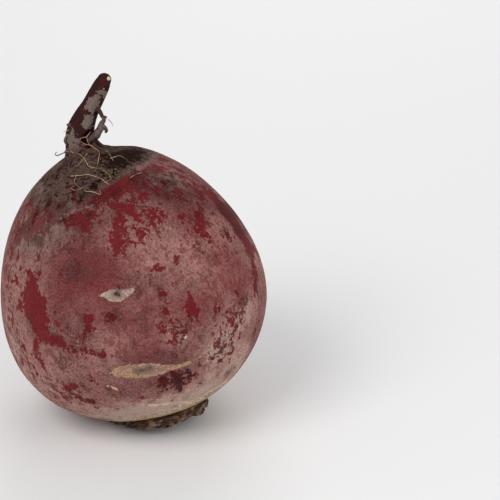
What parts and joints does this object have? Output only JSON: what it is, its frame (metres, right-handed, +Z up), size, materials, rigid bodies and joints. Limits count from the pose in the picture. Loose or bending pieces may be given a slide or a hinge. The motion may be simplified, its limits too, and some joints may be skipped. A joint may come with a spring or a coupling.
{
  "type": "beetroot",
  "caption": "Whole beetroot with a curved tapering tail and dried leaf bases on its crown, resting on a small flat spot.",
  "frame": {"origin": "on the floor, under the middle of the object's box", "axes": "+Z up, away from the surface it rests on; +X to the right and -Y towards a viewer who sees the tail lean to the back left"},
  "size_m": [0.0904, 0.0904, 0.1148],
  "materials": {
    "beet_skin": "dull dusty skin, dark crimson under a grey-mauve film",
    "dried_leaf": "dry, papery, dark brown"
  },
  "bodies": {
    "root": {"beet_body": "beet_skin", "leaf_bases": "dried_leaf"}
  },
  "joints": []
}
